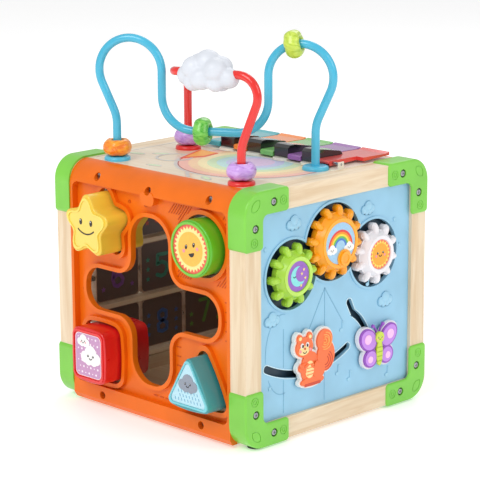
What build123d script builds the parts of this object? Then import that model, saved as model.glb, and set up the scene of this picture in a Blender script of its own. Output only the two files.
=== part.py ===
from build123d import *
import math
import os

os.makedirs("parts", exist_ok=True)

# A wooden activity cube. Millimetres, +Z up, origin on the ground under the cube's centre.
# +X is the gear side, -Y the shape sorter, -X the number tiles, +Y the battery side.

# Driving dimensions
HALF_X = 143.0           # wood, centre to face
HALF_Y = 136.0
TOP = 265.0              # top of the wood
BASE = 3.5               # bottom of the wood
PROUD = 2.0              # brackets outside the wood
SECTION = 22.0           # posts and rails
IN_X = HALF_X - SECTION
IN_Y = HALF_Y - SECTION
CORNER_R = 23.0          # rounding of the wood at the bracket corners
ARM_Y, ARM_Z = 63.0, 60.0
ARM_WIDE = 26.5
CROSS_TOP = 256.0        # top of the cross rails, underside of the top board
BOARD_T = TOP - CROSS_TOP
BOARD_Y = 111.5
FRONT_Y = -136.5         # front of the orange panel's rim
FIELD_Y = -129.0         # its sunk field
LIP_Y = -133.5           # the raised lips round its openings
PANEL_BACK_Y = -126.5
ROUND_R = 25.0           # its rounded top edge
PANEL_SKIN = 3.0
LIP = 4.5
HOLE_GAP = 3.0           # sorter holes round their blocks
STAR_AT, ROUND_AT = (-68, 205), (80, 204)
SQUARE_AT, TRIANGLE_AT = (-76, 62), (80, 56)
ROUND_BLOCK_R = 29.5
SIDE_X0, SIDE_X1 = 135.0, 139.0
PLATE_X0, PLATE_X1 = 127.0, 130.0        # the dark plate behind the side panel
GEARS = {"orange": (-5.5, 197.0, 12, 20.9), "green": (-67.5, 173.3, 10, 38.9),
         "white": (56.5, 174.5, 10, 165.1)}    # y, z, teeth, angle of the first tooth
MODULE = 3.0             # pitch radius of a gear per tooth
TOOTH_R = 4.2
GEAR_X0, GEAR_X1, GEAR_FACE = 137.0, 143.0, 150.0
AXLE_R, RUN = 3.0, 0.06  # gear axles and their running clearance
SLOT_W, NECK_R = 8.0, 3.4
SQUIRREL_ARC = (-42.5, 195.5, 129.5)     # centre y, z and radius of the slider slots
BUTTERFLY_ARC = (-4.0, 68.0, 56.0)
WIRE_R, BEAD_R, BEAD_T, BORE_R = 4.45, 16.0, 18.0, 5.6
BLUE_A, BLUE_B = (-88.0, -97.0), (101.0, 9.0)
RED_A, RED_B = (100.0, -98.0), (-79.0, -2.0)
WIRE_END = 257.0
CUP_R = 14.0
TILE_X, TILE_TALL, TILE_WIDE, TILE_T = -132.0, 56.0, 62.0, 10.0
TILE_YS, TILE_ZS = (-66.0, 0.0, 66.0), (62.0, 126.5, 191.0)
KEY_PITCH, KEY_WIDE, KEY_TAIL = 40.5, 38.0, 18.5
KEY_X0, KEY_Y0, KEY_Y1, KEY_STEP = -62.0, 20.0, 104.0, 63.0
KEY_BED = 20.8           # half a key, its gap and the bed's end plate
HINGE = (27.0, 270.4)    # y, z of the key hinge rod
KEY_NAMES = ("teal", "orange", "green", "purple", "red")


def side_plate(sketch, x0, x1):
    """A sketch drawn in (y, z), made solid from x0 to x1."""
    return extrude(Plane.YZ.offset(x0) * sketch, x1 - x0, dir=(1, 0, 0))


def front_plate(sketch, y0, y1):
    """A sketch drawn in (x, z), made solid from y0 forward to y1."""
    return extrude(Plane.XZ.offset(-y0) * sketch, y0 - y1, dir=(0, -1, 0))


def block(x0, x1, y0, y1, z0, z1):
    return Pos((x0 + x1) / 2, (y0 + y1) / 2, (z0 + z1) / 2) * Box(x1 - x0, y1 - y0, z1 - z0)


def rod_x(y, z, r, x0, x1):
    return side_plate(Pos(y, z) * Circle(r), x0, x1)


def rod_y(x, z, r, y0, y1):
    return front_plate(Pos(x, z) * Circle(r), y1, y0)


def rod_z(x, y, r, z0, z1):
    return Pos(x, y, (z0 + z1) / 2) * Cylinder(r, z1 - z0)


def save(name, *solids):
    """One STEP per node; several solids stay separate."""
    flat = []
    for item in solids:
        flat += list(item.solids())
    shape = flat[0] if len(flat) == 1 else Compound(children=flat)
    export_step(shape, "parts/" + name + ".step")


def both(shape, plane):
    return [shape, mirror(shape, about=plane)]


# ---- wooden frame ----------------------------------------------------------------

def wood_limit():
    outline = Pos(0, (TOP + BASE) / 2) * RectangleRounded(2 * HALF_Y, TOP - BASE, CORNER_R)
    return side_plate(outline, -HALF_X, HALF_X)


def tile_rod_holes():
    return [rod_y(TILE_X, z, AXLE_R, -IN_Y - 6, IN_Y + 6) for z in TILE_ZS]


SCREW_SPOTS = ((41.0, 13.0), (15.0, 37.0))    # from the bracket's Y edge and its Z edge


def bracket_screw_places():
    low, high = BASE - PROUD, TOP + PROUD
    for side in (-1, 1):
        for dy, dz in SCREW_SPOTS:
            for y in (-HALF_Y - PROUD + dy, HALF_Y + PROUD - dy):
                for z in (low + dz, high - dz):
                    yield side, y, z


def screw_x(side, y, z, face, head_r=3.1, shank_r=1.7, reach=14.0):
    """A pan-head screw pointing into the wood, its cross cut in the head."""
    head = rod_x(y, z, head_r, face, face + 1.5)
    head = fillet(head.faces().sort_by(Axis.X)[-1].edges(), 0.6)
    shank = rod_x(y, z, shank_r, face - reach, face)
    cross = side_plate(Pos(y, z) * (Rectangle(3.8, 1.0) + Rectangle(1.0, 3.8)), face + 0.6, face + 2)
    screw = head + shank - cross
    return screw if side > 0 else mirror(screw, about=Plane.YZ)


def screw_cuts(reach=14.0):
    cuts = []
    for side, y, z in bracket_screw_places():
        ends = sorted((side * (HALF_X - reach), side * HALF_X))
        cuts.append(rod_x(y, z, 1.75, ends[0], ends[1]))
    return cuts


def corner_posts():
    limit, cuts, posts = wood_limit(), screw_cuts() + tile_rod_holes(), []
    for x in (-1, 1):
        for y in (-1, 1):
            xs, ys = sorted((x * IN_X, x * HALF_X)), sorted((y * IN_Y, y * HALF_Y))
            post = block(xs[0], xs[1], ys[0], ys[1], BASE, TOP) & limit
            for cut in cuts:
                post = post - cut
            posts.append(post)
    save("corner_posts", *posts)


def side_rails():
    cuts, rails = screw_cuts(), []
    for x in (-1, 1):
        xs = sorted((x * IN_X, x * HALF_X))
        for z0, z1 in ((BASE, BASE + SECTION), (TOP - SECTION, TOP)):
            rail = block(xs[0], xs[1], -IN_Y, IN_Y, z0, z1)
            for cut in cuts:
                rail = rail - cut
            rails.append(rail)
    save("side_rails", *rails)


def cross_rails():
    """The rails that the front and back panels screw to; two high, two low."""
    high = block(-IN_X, IN_X, PANEL_BACK_Y, -104, 244, CROSS_TOP)
    low = block(-IN_X, IN_X, PANEL_BACK_Y, -112, BASE, 24)
    for x, z in PANEL_SCREWS:
        high = high - rod_y(x, z, 1.75, PANEL_BACK_Y - 1, PANEL_BACK_Y + 13)
        low = low - rod_y(x, z, 1.75, PANEL_BACK_Y - 1, PANEL_BACK_Y + 13)
    save("cross_rails", *(both(high, Plane.XZ) + both(low, Plane.XZ)))


def bracket():
    """The bracket of the +X +Y top corner: a rounded L that wraps the wood."""
    high, edge = TOP + PROUD, HALF_Y + PROUD
    ell = Polygon((edge, high), (edge - ARM_Y, high), (edge - ARM_Y, high - 25), (edge - ARM_WIDE, high - 25),
                  (edge - ARM_WIDE, high - ARM_Z), (edge, high - ARM_Z), align=None)
    points = ell.vertices()
    outer = [v for v in points if abs(v.X - edge) < 1e-3 and abs(v.Y - high) < 1e-3]
    inner = [v for v in points if abs(v.X - edge + ARM_WIDE) < 1e-3 and abs(v.Y - high + 25) < 1e-3]
    rest = [v for v in points if v not in outer and v not in inner]
    ell = fillet(outer, CORNER_R + PROUD)
    ell = fillet([v for v in ell.vertices() if near(v, inner[0])], 7)
    ell = fillet([v for v in ell.vertices() if any(near(v, r) for r in rest)], 4.5)
    body = side_plate(ell, IN_X, HALF_X + PROUD)
    body = fillet(body.faces().sort_by(Axis.X)[-1].edges(), 2.2)
    body = body - wood_limit()
    opening = block(IN_X - 1, SIDE_X1 + 0.1, -IN_Y, IN_Y, BASE + SECTION, TOP - SECTION)
    body = body - opening
    for side, y, z in bracket_screw_places():
        body = body - rod_x(y, z, 4.5, HALF_X, HALF_X + 5)
    centre = Pos(edge - 15, high - 14)
    leaf = (Pos(4, 0) * Circle(9)) & (Pos(-4, 0) * Circle(9))
    groove = centre * Rot(0, 0, 45) * (leaf - offset(leaf, -0.9))
    body = body - side_plate(groove, HALF_X + PROUD - 0.5, HALF_X + PROUD + 1)
    for y, z in ((edge - 54, high - 13), (edge - 13, high - 51)):
        ring = Pos(y, z) * (Circle(5.0) - Circle(4.1))
        dot = Pos(y, z) * (Circle(2.4) - Circle(1.6))
        body = body - side_plate(ring + dot, HALF_X + PROUD - 0.5, HALF_X + PROUD + 1)
    return body


def near(vertex, other):
    return abs(vertex.X - other.X) < 0.5 and abs(vertex.Y - other.Y) < 0.5


def corner_brackets():
    middle = Plane.XY.offset((TOP + BASE) / 2)
    one = max(bracket().solids(), key=lambda s: s.volume)
    group = [one]
    for plane in (Plane.XZ, Plane.YZ, middle):
        group = group + [mirror(item, about=plane) for item in group]
    save("corner_brackets", *group)
    save("frame_screws", *[screw_x(s, y, z, HALF_X) for s, y, z in bracket_screw_places()])


# ---- outlines of the sorter ----------------------------------------------------------

def bulged(points, bulge, corner):
    """A closed outline of shallow outward arcs with rounded corners."""
    cx = sum(p[0] for p in points) / len(points)
    cz = sum(p[1] for p in points) / len(points)
    edges = []
    for i, a in enumerate(points):
        b = points[(i + 1) % len(points)]
        mx, mz = (a[0] + b[0]) / 2, (a[1] + b[1]) / 2
        away = math.hypot(mx - cx, mz - cz)
        mid = (mx + (mx - cx) / away * bulge, mz + (mz - cz) / away * bulge)
        edges.append(ThreePointArc(a, mid, b))
    face = make_face(Wire(edges))
    return fillet(face.vertices(), corner)


def star_shape(grow=0.0):
    points = []
    for i in range(10):
        r = 41.0 if i % 2 == 0 else 22.5
        a = math.radians(90 + 36 * i)
        points.append((r * math.cos(a), r * math.sin(a)))
    star = Polygon(*points, align=None)
    tips = [v for v in star.vertices() if math.hypot(v.X, v.Y) > 30]
    star = fillet(tips, 7)
    dips = [v for v in star.vertices() if math.hypot(v.X, v.Y) < 24]
    star = fillet(dips, 8)
    return Pos(*STAR_AT) * (offset(star, grow) if grow else star)


def round_shape(grow=0.0):
    return Pos(*ROUND_AT) * Circle(ROUND_BLOCK_R + grow)


def square_shape(grow=0.0):
    x, z = SQUARE_AT
    w, h = 24.5 + grow, 27.5 + grow
    return bulged([(x - w, z - h), (x + w, z - h), (x + w, z + h), (x - w, z + h)], 2.5, 9 + grow)


def triangle_shape(grow=0.0):
    x, side = TRIANGLE_AT[0], 1.8 * grow
    return bulged([(x - 30 - side, 39 - grow), (x + 30 + side, 39 - grow), (x, 94 + 2.1 * grow)], 3, 5 + grow)


def window_shape(grow=0.0):
    tall, wide = RectangleRounded(57.5, 180, 26), RectangleRounded(203, 46, 21)
    bars = Pos(0.5, 131) * (tall + wide)
    inner = [v for v in bars.vertices() if abs(v.X - 0.5) < 30 and abs(v.Y - 131) < 24]
    window = fillet(inner, 22)
    return offset(window, grow) if grow else window


BLOCKS = {"star_block": (star_shape, -160.0, -100.0), "round_block": (round_shape, -150.0, -94.0),
          "square_block": (square_shape, -154.0, -91.0),
          "triangle_block": (triangle_shape, -155.5, -98.0)}
PANEL_SCREWS = ((-80, 252.5), (89, 252.5), (0.5, 249), (-74.5, 14.6), (78, 16))


def panel_body():
    """The front panel's solid before its openings, seen from the side."""
    z0 = TOP - ROUND_R
    inner_r = ROUND_R - PANEL_SKIN
    meet = math.sqrt(inner_r ** 2 - (PANEL_BACK_Y + BOARD_Y) ** 2)
    a45, back = math.radians(45), -BOARD_Y
    outer = (back - ROUND_R * math.sin(a45), z0 + ROUND_R * math.cos(a45))
    inner = (back - 7.0, z0 + math.sqrt(inner_r ** 2 - 49.0))
    edges = [Line((PANEL_BACK_Y, BASE), (-133, BASE)), Line((-133, BASE), (FRONT_Y, 9)),
             Line((FRONT_Y, 9), (FRONT_Y, z0)), ThreePointArc((FRONT_Y, z0), outer, (back, TOP)),
             Line((back, TOP), (back, TOP - PANEL_SKIN)),
             ThreePointArc((back, TOP - PANEL_SKIN), inner, (PANEL_BACK_Y, z0 + meet)),
             Line((PANEL_BACK_Y, z0 + meet), (PANEL_BACK_Y, BASE))]
    body = side_plate(make_face(Wire(edges)), -IN_X, IN_X)
    field = Pos(0, 134) * RectangleRounded(234, 220, 8)
    return body - front_plate(field, FIELD_Y, FRONT_Y - 1)


def screw_y(x, z, face):
    head = rod_y(x, z, 3.3, face - 1.5, face)
    cross = front_plate(Pos(x, z) * (Rectangle(3.8, 1.0) + Rectangle(1.0, 3.8)), face - 0.8, face - 2)
    return head + rod_y(x, z, 1.7, face, face + 14) - cross


def screw_seat(z):
    return -128.4 if z > 240 else -129.5


def with_screw_holes(body):
    for x, z in PANEL_SCREWS:
        seat = screw_seat(z)
        body = body - rod_y(x, z, 4.3, FRONT_Y - 4, seat) - rod_y(x, z, 1.75, seat - 1, PANEL_BACK_Y + 1)
    return body


def front_panel():
    body = panel_body()
    tab = Pos(0.5, 241) * RectangleRounded(21, 14, 6)
    body = body + front_plate(tab, PANEL_BACK_Y - 1, FRONT_Y)
    openings = [(window_shape, 0.0)] + [(shape, HOLE_GAP) for shape, _, _ in BLOCKS.values()]
    frame = Pos(0, 134) * RectangleRounded(237, 223, 8)
    for shape, gap in openings:
        body = body + front_plate(shape(gap + LIP) & frame, FIELD_Y + 0.5, LIP_Y)
    for shape, gap in openings:
        body = body - front_plate(shape(gap), PANEL_BACK_Y + 1, FRONT_Y - 2)
    save("front_panel", max(with_screw_holes(body).solids(), key=lambda s: s.volume))


def back_panel():
    body = panel_body()
    arch = Pos(0, 165) * RectangleRounded(150, 110, 30)
    ring = offset(arch, LIP)
    body = body + front_plate(ring, FIELD_Y, LIP_Y)
    body = body - front_plate(arch, PANEL_BACK_Y + 1, FRONT_Y - 2)
    door = Pos(45, 62) * RectangleRounded(84, 50, 4)
    body = body - front_plate(offset(door, 0.3), PANEL_BACK_Y + 1, FRONT_Y)
    for i in range(-3, 4):
        half = math.sqrt(22.0 ** 2 - (i * 6) ** 2)
        slot = Pos(-55, 62 + 6 * i) * SlotOverall(2 * half, 3)
        body = body - front_plate(slot, PANEL_BACK_Y + 1, FRONT_Y)
    body = body - front_plate(Pos(-8, 62) * Rectangle(8, 20), PANEL_BACK_Y + 1, FRONT_Y)
    save("back_panel", mirror(max(with_screw_holes(body).solids(), key=lambda s: s.volume), about=Plane.XZ))
    save("battery_door", mirror(front_plate(door, PANEL_BACK_Y, FIELD_Y - 1), about=Plane.XZ))
    knob = block(-11, -5, FIELD_Y - 2.5, PANEL_BACK_Y + 0.4, 55, 61)
    knob = knob + block(-13.5, -2.5, PANEL_BACK_Y + 0.4, PANEL_BACK_Y + 2, 48, 68)
    save("power_switch", mirror(knob, about=Plane.XZ))
    front = [screw_y(x, z, screw_seat(z)) for x, z in PANEL_SCREWS]
    save("panel_screws", *(front + [mirror(s, about=Plane.XZ) for s in front]))


def sorting_blocks():
    for name, (shape, y0, y1) in BLOCKS.items():
        body = front_plate(shape(), y1, y0)
        faces = body.faces().sort_by(Axis.Y)
        body = fillet(faces[0].edges(), 1.8)
        body = fillet(body.faces().sort_by(Axis.Y)[-1].edges(), 1.2)
        save(name, body)


# ---- gear side -------------------------------------------------------------------------

def arc_slot(centre, start, stop, width):
    y, z, r = centre
    arc = CenterArc((y, z), r, start, stop - start)
    return SlotArc(arc, width)


def puff(y, z, k=1.0):
    """A cloud with three bumps on a flat base."""
    bumps = Pos(y - 7 * k, z - 1 * k) * Circle(4.6 * k) + Pos(y, z + 2 * k) * Circle(6.4 * k)
    bumps = bumps + Pos(y + 6.5 * k, z - 1.2 * k) * Circle(4.4 * k)
    return bumps + Pos(y, z - 3.4 * k) * Rectangle(14 * k, 4.4 * k)


def side_panel():
    body = block(SIDE_X0, SIDE_X1, -IN_Y, IN_Y, BASE + SECTION, TOP - SECTION)
    rings = []
    for y, z, teeth, _ in GEARS.values():
        rings.append(Pos(y, z) * Circle(MODULE * teeth + (5.0 if teeth == 12 else 6.4)))
    hole = rings[0] + rings[1] + rings[2]
    body = body + side_plate(offset(hole, 2.5), SIDE_X1, SIDE_X1 + 1.4)
    body = body - side_plate(hole, SIDE_X0 - 1, SIDE_X1 + 3)
    body = body - side_plate(arc_slot(SQUIRREL_ARC, 242.2, 297.6, SLOT_W), SIDE_X0 - 1, SIDE_X1 + 1)
    body = body - side_plate(arc_slot(BUTTERFLY_ARC, -10.0, 58.0, SLOT_W), SIDE_X0 - 1, SIDE_X1 + 1)
    hook = Pos(23.2, 121.5) * Rot(0, 0, 117) * SlotCenterToCenter(14, SLOT_W)
    body = body - side_plate(hook, SIDE_X0 - 1, SIDE_X1 + 1)
    for y, z, k in ((-62.7, 225.8, 0.95), (48.5, 223.6, 0.9), (76.9, 120.3, 1.0), (-94.5, 131.1, 0.95)):
        cloud = side_plate(puff(y, z, k), SIDE_X1, SIDE_X1 + 1.2)
        body = body + cloud
    save("side_panel", max(body.solids(), key=lambda s: s.volume))


def gear_backplate():
    """The dark inner plate behind the side panel, with the three gear axles."""
    body = block(PLATE_X0, PLATE_X1, -IN_Y, IN_Y, BASE + SECTION, TOP - SECTION)
    for y, z, _, _ in GEARS.values():
        body = body + rod_x(y, z, 7, PLATE_X1, GEAR_X0 - 0.3) + rod_x(y, z, AXLE_R, PLATE_X1, 147)
    for y, z in ((-104, 36), (104, 36), (-104, 232), (104, 232), (0, 36)):
        body = body + rod_x(y, z, 4, PLATE_X1, SIDE_X0)
    save("gear_backplate", body)


def lobed(teeth, root, lobe_at, lobe_r, first):
    outline = Circle(root)
    for i in range(teeth):
        a = math.radians(first + 360.0 * i / teeth)
        outline = outline + Pos(lobe_at * math.cos(a), lobe_at * math.sin(a)) * Circle(lobe_r)
    return outline


def gear(name):
    y, z, teeth, first = GEARS[name]
    pitch = MODULE * teeth
    outline = Pos(y, z) * lobed(teeth, pitch - 4.4, pitch - 1.2, TOOTH_R, first)
    body = side_plate(outline, GEAR_X0, GEAR_X1)
    cone_foot, cone_top = pitch - 5.5, pitch - 9.5
    cone = Cone(cone_foot, cone_top, GEAR_FACE - GEAR_X1)
    body = body + Pos((GEAR_X1 + GEAR_FACE) / 2, y, z) * Rot(0, 90, 0) * cone
    body = body - rod_x(y, z, AXLE_R + RUN, GEAR_X0 - 1, 147.4)
    if name == "orange":
        body = body + rod_x(y + 5, z - 16.5, 7.5, GEAR_X1, GEAR_FACE + 3)
    else:
        body = body - rod_x(y, z, pitch - 14.0, GEAR_FACE - 0.8, GEAR_FACE + 4)
    save("gear_" + name, body)


def slider(name, centre, angle, outline):
    """A picture slider: its backing, its neck through the slot and the retainer behind."""
    y, z, r = centre
    ny, nz = y + r * math.cos(math.radians(angle)), z + r * math.sin(math.radians(angle))
    neck = rod_x(ny, nz, NECK_R, 133.4, 142)
    retainer = rod_x(ny, nz, 6.5, 133.4, 134.7) - rod_x(ny, nz, NECK_R, 133, 135)
    save(name + "_slider", side_plate(outline, 141, 149) + neck, retainer)


def squirrel_outline():
    body = Pos(-47, 74) * Ellipse(17, 20)
    head = Pos(-56, 96) * Ellipse(15, 13.5)
    tail = Pos(-23, 82) * Ellipse(15.5, 19) + Pos(-26, 99) * Circle(11.5)
    foot = Pos(-42, 59) * Ellipse(24, 6.5)
    return body + head + tail + foot + Pos(-37, 78) * Circle(10)


def butterfly_outline():
    wings = Pos(44, 84) * Rot(0, 0, 35) * Ellipse(17, 14) + Pos(74, 84) * Rot(0, 0, -35) * Ellipse(17, 14)
    low = Pos(47, 62) * Ellipse(11, 12) + Pos(71, 62) * Ellipse(11, 12)
    return wings + low + Pos(59, 73) * Ellipse(7, 27)


def sliders():
    slider("squirrel", SQUIRREL_ARC, 269.1, squirrel_outline())
    slider("butterfly", BUTTERFLY_ARC, 3.6, butterfly_outline())


# ---- top: board, wires and beads --------------------------------------------------------------

WIRE_FEET = (BLUE_A, BLUE_B, RED_A, RED_B)


def boards():
    top = block(-IN_X, IN_X, -BOARD_Y, BOARD_Y, CROSS_TOP, TOP)
    for x, y in WIRE_FEET:
        top = top - rod_z(x, y, WIRE_R + 0.05, WIRE_END, TOP + 1)
    save("top_board", top)
    save("bottom_board", block(-IN_X, IN_X, -112, 112, 5, 10))


def cup(x, y):
    body = rod_z(x, y, CUP_R, TOP, TOP + 4.5)
    body = fillet(body.faces().sort_by(Axis.Z)[-1].edges(), 3.0)
    return body - rod_z(x, y, WIRE_R + 0.05, TOP - 1, TOP + 8)


def wire_cups():
    save("wire_cups_blue", cup(*BLUE_A), cup(*BLUE_B))
    save("wire_cups_red", cup(*RED_A), cup(*RED_B))


def tube(path):
    start = Plane(origin=path @ 0, z_dir=path % 0)
    return sweep(start * Circle(WIRE_R), path=path)


HUMP_R, LEAN, DIP_R = 34.5, 23.9, 35.0
BLUE_SPAN = math.hypot(BLUE_B[0] - BLUE_A[0], BLUE_B[1] - BLUE_A[1])
BLUE_DIR = ((BLUE_B[0] - BLUE_A[0]) / BLUE_SPAN, (BLUE_B[1] - BLUE_A[1]) / BLUE_SPAN)


def blue_moves():
    """The blue wire in its own upright plane: runs, and bends given as radius and turn."""
    half = [("run", 303.6 - WIRE_END), ("bend", 40.0, LEAN), ("run", 29.8),
            ("bend", HUMP_R, -(180.0 + LEAN)), ("run", 26.5), ("bend", DIP_R, 90.0)]
    middle = [("run", BLUE_SPAN - 2 * (50.5 + DIP_R))]
    return half + middle + half[::-1]


def blue_wire():
    plane = Plane(origin=(BLUE_A[0], BLUE_A[1], 0), x_dir=(BLUE_DIR[0], BLUE_DIR[1], 0),
                  z_dir=(BLUE_DIR[1], -BLUE_DIR[0], 0))
    at, heading, edges = Vector(0, WIRE_END), 90.0, []
    for move in blue_moves():
        way = Vector(math.cos(math.radians(heading)), math.sin(math.radians(heading)))
        if move[0] == "run":
            edge = Line(at, at + way * move[1])
        else:
            edge = JernArc(at, way, move[1], move[2])
            heading += move[2]
        edges.append(edge)
        at = edge @ 1
    return tube(plane * Wire(edges))


RED_PATH = (((100, -98, WIRE_END), 0), ((100, -98, 303), 40), ((129.8, -91.7, 376), 21.5),
            ((20.3, -115.0, 373.4), 14), ((-79, -2, 350), 28), ((-79, -2, WIRE_END), 0))


def red_wire():
    """Straight runs joined by tangent arcs, each corner with its own radius."""
    edges, at = [], Vector(*RED_PATH[0][0])
    for i in range(1, len(RED_PATH) - 1):
        before, here = Vector(*RED_PATH[i - 1][0]), Vector(*RED_PATH[i][0])
        after, radius = Vector(*RED_PATH[i + 1][0]), RED_PATH[i][1]
        a, b = (before - here).normalized(), (after - here).normalized()
        half = math.radians(a.get_angle(b)) / 2
        reach, far = radius / math.tan(half), radius / math.sin(half)
        mid = here + (a + b).normalized() * (far - radius)
        edges += [Line(at, here + a * reach), ThreePointArc(here + a * reach, mid, here + b * reach)]
        at = here + b * reach
    edges.append(Line(at, Vector(*RED_PATH[-1][0])))
    return tube(Wire(edges))


def bead(bore=BORE_R):
    body = Cylinder(BEAD_R, BEAD_T)
    body = fillet(body.edges().filter_by(GeomType.CIRCLE), 7.5)
    return body - Cylinder(bore, BEAD_T + 2)


def along_blue(s, z):
    return (BLUE_A[0] + BLUE_DIR[0] * s, BLUE_A[1] + BLUE_DIR[1] * s, z)


def beads():
    save("bead_orange", Pos(BLUE_A[0], BLUE_A[1], 278.8) * bead())
    save("bead_lilac_front", Pos(RED_A[0], RED_A[1], 279.0) * bead())
    save("bead_lilac_back", Pos(RED_B[0], RED_B[1], 279.0) * bead())
    flat = Plane(origin=along_blue(95.0, 299.5), z_dir=(BLUE_DIR[0], BLUE_DIR[1], 0))
    save("bead_green", flat * bead())
    angle = math.radians(102.0)
    s, z = BLUE_SPAN - 16.0 + HUMP_R * math.cos(angle), 361.0 + HUMP_R * math.sin(angle)
    along = (-math.sin(angle) * BLUE_DIR[0], -math.sin(angle) * BLUE_DIR[1], math.cos(angle))
    save("bead_lime", Plane(origin=along_blue(s, z), z_dir=along) * bead(6.3))
    near_bend, far_bend = Vector(*RED_PATH[2][0]), Vector(*RED_PATH[3][0])
    run = (far_bend - near_bend).normalized()
    centre = near_bend + run * 69.5
    outline = Circle(0.5)
    for across, up, r in ((-23.3, -4.7, 12.3), (-8.7, 5.2, 17.5), (10.4, 4.6, 18.6), (24.6, -4.3, 11.4)):
        outline = outline + Pos(across, up) * Circle(r)
    outline = outline + Pos(0.5, -12) * RectangleRounded(52, 15, 7)
    cloud = Pos(0, 0, -19) * extrude(outline, 38)
    cloud = cloud - Rot(0, 90, 0) * Cylinder(BORE_R, 90)
    frame = Plane(origin=centre, x_dir=run, z_dir=run.cross(Vector(0, 0, 1)))
    save("cloud_bead", frame * cloud)


# ---- keyboard -----------------------------------------------------------------------------------

def natural(x):
    side = [(KEY_Y0, 267.8), (KEY_Y0, 272), (22, 273.2), (62, 272.4), (98, 271.6), (KEY_Y1, 273),
            (KEY_Y1, 269.4), (62, 268.4), (34, 267.8)]
    body = side_plate(Polygon(*side, align=None), x - KEY_WIDE / 2, x + KEY_WIDE / 2)
    cut = (KEY_WIDE - KEY_TAIL) / 2
    for x0 in (x - KEY_WIDE / 2, x + KEY_WIDE / 2 - cut):
        body = body - block(x0, x0 + cut, KEY_Y0 - 1, KEY_STEP, 260, 290)
    for cx, cy in WIRE_FEET:
        body = body - rod_z(cx, cy, CUP_R + 0.8, TOP, TOP + 5.3)
    return body - rod_x(HINGE[0], HINGE[1], 1.5 + RUN, x - 30, x + 30)


def black_key(x):
    side = [(21.5, 268.4), (21.5, 278.5), (25, 281.5), (32, 281.6), (59, 276.5), (62, 274),
            (62, 269.8), (34, 268.4)]
    body = side_plate(Polygon(*side, align=None), x - 10.2, x + 10.2)
    return body - rod_x(HINGE[0], HINGE[1], 1.5 + RUN, x - 30, x + 30)


def keyboard():
    for i, name in enumerate(KEY_NAMES):
        save("key_" + name, natural(KEY_X0 + KEY_PITCH * i))
    for i in range(4):
        save("black_key_" + str(i + 1), black_key(KEY_X0 + KEY_PITCH * (i + 0.5)))
    x0, x1 = KEY_X0 - KEY_BED, KEY_X0 + 4 * KEY_PITCH + KEY_BED
    bed = block(x0, x1, 17, 106, TOP, TOP + 0.8)
    for x in (x0, x1 - 1.4):
        bed = bed + block(x, x + 1.4, 23, 31, TOP, HINGE[1] + 2.5)
    bed = bed - rod_x(HINGE[0], HINGE[1], 1.5, x0 - 1, x1 + 1)
    for cx, cy in WIRE_FEET:
        bed = bed - rod_z(cx, cy, CUP_R + 0.3, TOP - 1, TOP + 3)
    save("keyboard_bed", bed)
    save("key_hinge_rod", rod_x(HINGE[0], HINGE[1], 1.5, x0, x1))


# ---- number tiles and inner pieces -------------------------------------------------------------------

def tiles():
    number = 1
    for z in reversed(TILE_ZS):
        for y in TILE_YS:
            tile = block(TILE_X - TILE_T / 2, TILE_X + TILE_T / 2, y - TILE_WIDE / 2, y + TILE_WIDE / 2,
                         z - TILE_TALL / 2, z + TILE_TALL / 2)
            tile = fillet(tile.edges().filter_by(Axis.X), 3)
            save("number_tile_" + str(number), tile - rod_y(TILE_X, z, AXLE_R + RUN, y - 40, y + 40))
            number += 1
    save("tile_rods", *tile_rod_holes())
    bars = [block(-HALF_X, -IN_X, -IN_Y, IN_Y, z - 2.5, z + 2.5) for z in (29, 94.25, 158.75, 223.25)]
    save("tile_bars", *bars)


def electronics():
    box = block(3, 87, 104, -PANEL_BACK_Y, 38, 86) - block(5, 85, 106, -PANEL_BACK_Y + 1, 40, 84)
    save("battery_box", box)
    save("batteries", *[rod_x(115, z, 7.1, 16, 66) for z in (47.5, 62, 76.5)])
    cone = Pos(-55, -PANEL_BACK_Y - 8, 62) * Rot(-90, 0, 0) * Cone(12, 24, 16)
    save("speaker", cone + rod_y(-55, 62, 14, 106, 111))
    board = block(-60, 60, 20, 90, 252.4, 254) + block(-20, 16, 40, 62, 249, 252.4)
    for x in (-54, 54):
        for y in (26, 84):
            board = board + rod_z(x, y, 3, 254, CROSS_TOP)
    save("circuit_board", board)
    feet = [rod_z(x, y, 8, 0, BASE - PROUD) for x in (-132, 132) for y in (-112, 112)]
    save("rubber_feet", *(feet + [rod_z(0, 0, 10, 0, 5)]))


def main():
    corner_posts()
    side_rails()
    cross_rails()
    corner_brackets()
    front_panel()
    back_panel()
    sorting_blocks()
    side_panel()
    gear_backplate()
    for name in GEARS:
        gear(name)
    sliders()
    boards()
    wire_cups()
    save("bead_wire_blue", blue_wire())
    save("bead_wire_red", red_wire())
    beads()
    keyboard()
    tiles()
    electronics()


main()
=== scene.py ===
import math
import random
import bmesh
import bpy
from mathutils import Matrix, Vector


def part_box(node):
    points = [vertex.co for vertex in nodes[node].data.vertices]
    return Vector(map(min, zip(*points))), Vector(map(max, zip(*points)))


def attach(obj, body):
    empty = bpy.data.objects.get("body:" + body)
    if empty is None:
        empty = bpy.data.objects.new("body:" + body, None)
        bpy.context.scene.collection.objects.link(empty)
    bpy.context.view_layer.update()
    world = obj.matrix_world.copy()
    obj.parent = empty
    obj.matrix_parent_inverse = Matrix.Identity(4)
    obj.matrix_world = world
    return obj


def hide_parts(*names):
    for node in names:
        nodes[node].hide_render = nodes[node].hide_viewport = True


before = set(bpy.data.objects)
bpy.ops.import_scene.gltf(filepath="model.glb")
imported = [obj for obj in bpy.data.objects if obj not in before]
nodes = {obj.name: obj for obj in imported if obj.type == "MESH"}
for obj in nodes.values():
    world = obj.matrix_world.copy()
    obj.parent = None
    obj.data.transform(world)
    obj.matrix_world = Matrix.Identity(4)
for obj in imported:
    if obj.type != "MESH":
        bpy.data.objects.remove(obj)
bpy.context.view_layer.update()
MM = 0.001

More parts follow.
